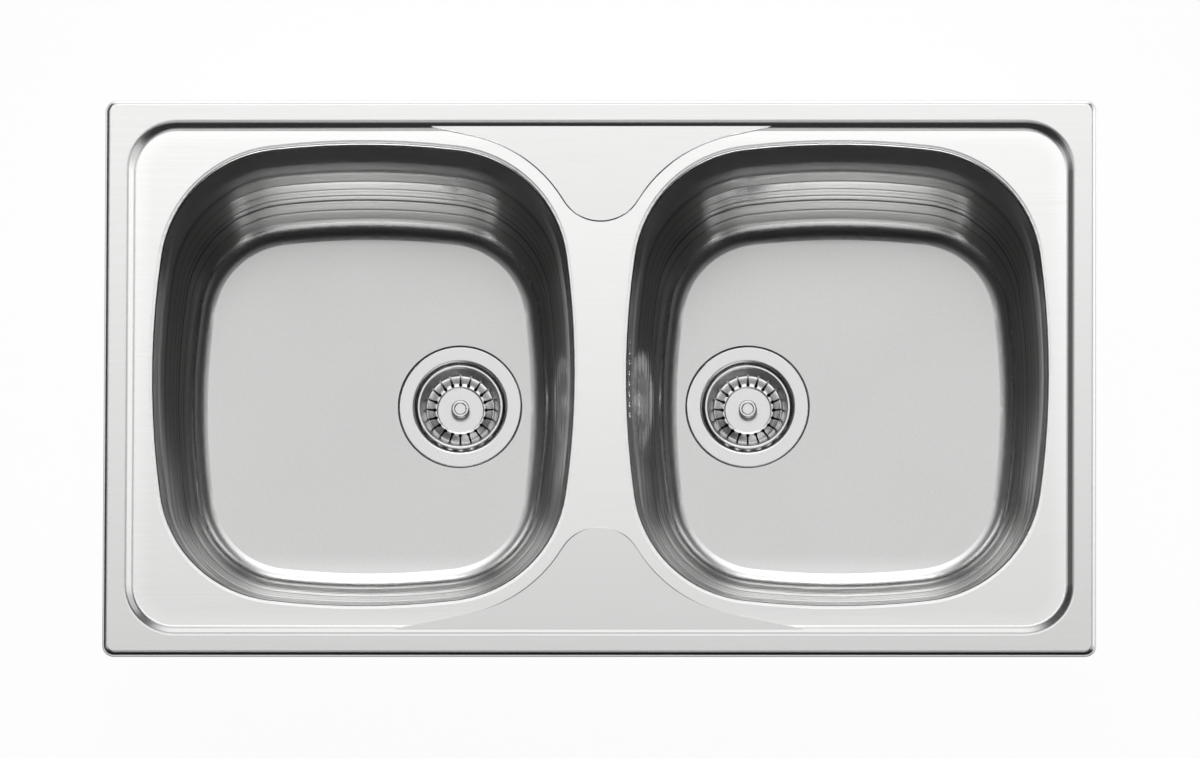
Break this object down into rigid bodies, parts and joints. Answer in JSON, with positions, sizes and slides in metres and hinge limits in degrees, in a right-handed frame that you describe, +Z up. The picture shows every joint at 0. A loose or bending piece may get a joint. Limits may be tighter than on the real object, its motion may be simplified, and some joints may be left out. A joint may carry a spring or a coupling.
{
  "type": "kitchen sink",
  "caption": "Double-bowl inset sink of pressed stainless steel with basket strainers, an overflow, a stepped rim and worktop clips below.",
  "frame": {"origin": "centre of the worktop cut-out, on the worktop's top face", "axes": "+X to the right along the long side, +Y to the back, +Z up"},
  "size_m": [0.86, 0.49, 0.2458],
  "materials": {
    "satin_steel": "satin pressed stainless sheet",
    "polished_steel": "polished stainless",
    "plated_steel": "zinc plated",
    "black_rubber": "matt",
    "grey_foam": "closed-cell foam strip",
    "grey_pad": "sound-deadening pad",
    "grey_plastic": "moulded polypropylene",
    "white_plastic": "moulded polypropylene",
    "brass": "turned"
  },
  "bodies": {
    "sink": {"deck": "satin_steel", "left_bowl": "satin_steel", "right_bowl": "satin_steel", "rim_seal": "grey_foam", "front_rail": "satin_steel", "back_rail": "satin_steel", "left_rail": "satin_steel", "right_rail": "satin_steel", "left_sound_pad": "grey_pad", "right_sound_pad": "grey_pad", "overflow_gasket": "black_rubber", "overflow_housing": "grey_plastic", "overflow_nuts": "plated_steel", "overflow_hose": "grey_plastic", "hose_clamps": "plated_steel", "left_strainer_cup": "polished_steel", "left_flange_gasket": "black_rubber", "left_under_gasket": "black_rubber", "left_waste_body": "grey_plastic", "left_clamp_screw": "polished_steel", "left_screw_insert": "brass", "right_strainer_cup": "polished_steel", "right_flange_gasket": "black_rubber", "right_under_gasket": "black_rubber", "right_waste_body": "grey_plastic", "right_clamp_screw": "polished_steel", "right_screw_insert": "brass"},
    "left_strainer_basket": {"left_basket": "polished_steel", "left_basket_knob": "polished_steel", "left_basket_seal": "black_rubber", "left_basket_catch": "white_plastic"},
    "right_strainer_basket": {"right_basket": "polished_steel", "right_basket_knob": "polished_steel", "right_basket_seal": "black_rubber", "right_basket_catch": "white_plastic"},
    "front_left_clip_bolt_body": {"front_left_clip_bolt": "plated_steel"},
    "front_left_clip_claw_body": {"front_left_clip_claw": "plated_steel"},
    "front_left_clip_nut_body": {"front_left_clip_nut": "plated_steel"},
    "front_middle_clip_bolt_body": {"front_middle_clip_bolt": "plated_steel"},
    "front_middle_clip_claw_body": {"front_middle_clip_claw": "plated_steel"},
    "front_middle_clip_nut_body": {"front_middle_clip_nut": "plated_steel"},
    "front_right_clip_bolt_body": {"front_right_clip_bolt": "plated_steel"},
    "front_right_clip_claw_body": {"front_right_clip_claw": "plated_steel"},
    "front_right_clip_nut_body": {"front_right_clip_nut": "plated_steel"},
    "back_left_clip_bolt_body": {"back_left_clip_bolt": "plated_steel"},
    "back_left_clip_claw_body": {"back_left_clip_claw": "plated_steel"},
    "back_left_clip_nut_body": {"back_left_clip_nut": "plated_steel"},
    "back_middle_clip_bolt_body": {"back_middle_clip_bolt": "plated_steel"},
    "back_middle_clip_claw_body": {"back_middle_clip_claw": "plated_steel"},
    "back_middle_clip_nut_body": {"back_middle_clip_nut": "plated_steel"},
    "back_right_clip_bolt_body": {"back_right_clip_bolt": "plated_steel"},
    "back_right_clip_claw_body": {"back_right_clip_claw": "plated_steel"},
    "back_right_clip_nut_body": {"back_right_clip_nut": "plated_steel"},
    "left_side_clip_bolt_body": {"left_side_clip_bolt": "plated_steel"},
    "left_side_clip_claw_body": {"left_side_clip_claw": "plated_steel"},
    "left_side_clip_nut_body": {"left_side_clip_nut": "plated_steel"},
    "right_side_clip_bolt_body": {"right_side_clip_bolt": "plated_steel"},
    "right_side_clip_claw_body": {"right_side_clip_claw": "plated_steel"},
    "right_side_clip_nut_body": {"right_side_clip_nut": "plated_steel"}
  },
  "joints": [
    {"name": "left_basket_lift", "type": "slide", "parent": "sink", "child": "left_strainer_basket", "axis": [0, 0, 1], "range_m": [0, 0.2]},
    {"name": "right_basket_lift", "type": "slide", "parent": "sink", "child": "right_strainer_basket", "axis": [0, 0, 1], "range_m": [0, 0.2]},
    {"name": "front_left_clip_swivel", "type": "hinge", "parent": "sink", "child": "front_left_clip_bolt_body", "pos_m": [-0.29, -0.217, -0.0038], "axis": [0, 0, 1], "range_deg": [-90, 0]},
    {"name": "front_left_clip_travel", "type": "slide", "parent": "front_left_clip_bolt_body", "child": "front_left_clip_claw_body", "axis": [0, 0, 1], "range_m": [-0.01, 0.018]},
    {"name": "front_left_clip_turn", "type": "hinge", "parent": "front_left_clip_claw_body", "child": "front_left_clip_nut_body", "pos_m": [-0.29, -0.217, -0.0515], "axis": [0, 0, 1], "range_deg": [-3600, 6480]},
    {"name": "front_middle_clip_swivel", "type": "hinge", "parent": "sink", "child": "front_middle_clip_bolt_body", "pos_m": [0, -0.217, -0.0038], "axis": [0, 0, 1], "range_deg": [-90, 0]},
    {"name": "front_middle_clip_travel", "type": "slide", "parent": "front_middle_clip_bolt_body", "child": "front_middle_clip_claw_body", "axis": [0, 0, 1], "range_m": [-0.01, 0.018]},
    {"name": "front_middle_clip_turn", "type": "hinge", "parent": "front_middle_clip_claw_body", "child": "front_middle_clip_nut_body", "pos_m": [0, -0.217, -0.0515], "axis": [0, 0, 1], "range_deg": [-3600, 6480]},
    {"name": "front_right_clip_swivel", "type": "hinge", "parent": "sink", "child": "front_right_clip_bolt_body", "pos_m": [0.29, -0.217, -0.0038], "axis": [0, 0, 1], "range_deg": [-90, 0]},
    {"name": "front_right_clip_travel", "type": "slide", "parent": "front_right_clip_bolt_body", "child": "front_right_clip_claw_body", "axis": [0, 0, 1], "range_m": [-0.01, 0.018]},
    {"name": "front_right_clip_turn", "type": "hinge", "parent": "front_right_clip_claw_body", "child": "front_right_clip_nut_body", "pos_m": [0.29, -0.217, -0.0515], "axis": [0, 0, 1], "range_deg": [-3600, 6480]},
    {"name": "back_left_clip_swivel", "type": "hinge", "parent": "sink", "child": "back_left_clip_bolt_body", "pos_m": [-0.29, 0.217, -0.0038], "axis": [0, 0, 1], "range_deg": [-90, 0]},
    {"name": "back_left_clip_travel", "type": "slide", "parent": "back_left_clip_bolt_body", "child": "back_left_clip_claw_body", "axis": [0, 0, 1], "range_m": [-0.01, 0.018]},
    {"name": "back_left_clip_turn", "type": "hinge", "parent": "back_left_clip_claw_body", "child": "back_left_clip_nut_body", "pos_m": [-0.29, 0.217, -0.0515], "axis": [0, 0, 1], "range_deg": [-3600, 6480]},
    {"name": "back_middle_clip_swivel", "type": "hinge", "parent": "sink", "child": "back_middle_clip_bolt_body", "pos_m": [0, 0.217, -0.0038], "axis": [0, 0, 1], "range_deg": [-90, 0]},
    {"name": "back_middle_clip_travel", "type": "slide", "parent": "back_middle_clip_bolt_body", "child": "back_middle_clip_claw_body", "axis": [0, 0, 1], "range_m": [-0.01, 0.018]},
    {"name": "back_middle_clip_turn", "type": "hinge", "parent": "back_middle_clip_claw_body", "child": "back_middle_clip_nut_body", "pos_m": [0, 0.217, -0.0515], "axis": [0, 0, 1], "range_deg": [-3600, 6480]},
    {"name": "back_right_clip_swivel", "type": "hinge", "parent": "sink", "child": "back_right_clip_bolt_body", "pos_m": [0.29, 0.217, -0.0038], "axis": [0, 0, 1], "range_deg": [-90, 0]},
    {"name": "back_right_clip_travel", "type": "slide", "parent": "back_right_clip_bolt_body", "child": "back_right_clip_claw_body", "axis": [0, 0, 1], "range_m": [-0.01, 0.018]},
    {"name": "back_right_clip_turn", "type": "hinge", "parent": "back_right_clip_claw_body", "child": "back_right_clip_nut_body", "pos_m": [0.29, 0.217, -0.0515], "axis": [0, 0, 1], "range_deg": [-3600, 6480]},
    {"name": "left_side_clip_swivel", "type": "hinge", "parent": "sink", "child": "left_side_clip_bolt_body", "pos_m": [-0.3986, 0, -0.0038], "axis": [0, 0, 1], "range_deg": [-90, 0]},
    {"name": "left_side_clip_travel", "type": "slide", "parent": "left_side_clip_bolt_body", "child": "left_side_clip_claw_body", "axis": [0, 0, 1], "range_m": [-0.01, 0.018]},
    {"name": "left_side_clip_turn", "type": "hinge", "parent": "left_side_clip_claw_body", "child": "left_side_clip_nut_body", "pos_m": [-0.3986, 0, -0.0515], "axis": [0, 0, 1], "range_deg": [-3600, 6480]},
    {"name": "right_side_clip_swivel", "type": "hinge", "parent": "sink", "child": "right_side_clip_bolt_body", "pos_m": [0.3986, 0, -0.0038], "axis": [0, 0, 1], "range_deg": [-90, 0]},
    {"name": "right_side_clip_travel", "type": "slide", "parent": "right_side_clip_bolt_body", "child": "right_side_clip_claw_body", "axis": [0, 0, 1], "range_m": [-0.01, 0.018]},
    {"name": "right_side_clip_turn", "type": "hinge", "parent": "right_side_clip_claw_body", "child": "right_side_clip_nut_body", "pos_m": [0.3986, 0, -0.0515], "axis": [0, 0, 1], "range_deg": [-3600, 6480]}
  ],
  "couplings": [
    {"joint": "front_left_clip_travel", "follows": "front_left_clip_turn", "m_per_rad": 0.00015915},
    {"joint": "front_middle_clip_travel", "follows": "front_middle_clip_turn", "m_per_rad": 0.00015915},
    {"joint": "front_right_clip_travel", "follows": "front_right_clip_turn", "m_per_rad": 0.00015915},
    {"joint": "back_left_clip_travel", "follows": "back_left_clip_turn", "m_per_rad": 0.00015915},
    {"joint": "back_middle_clip_travel", "follows": "back_middle_clip_turn", "m_per_rad": 0.00015915},
    {"joint": "back_right_clip_travel", "follows": "back_right_clip_turn", "m_per_rad": 0.00015915},
    {"joint": "left_side_clip_travel", "follows": "left_side_clip_turn", "m_per_rad": 0.00015915},
    {"joint": "right_side_clip_travel", "follows": "right_side_clip_turn", "m_per_rad": 0.00015915}
  ]
}
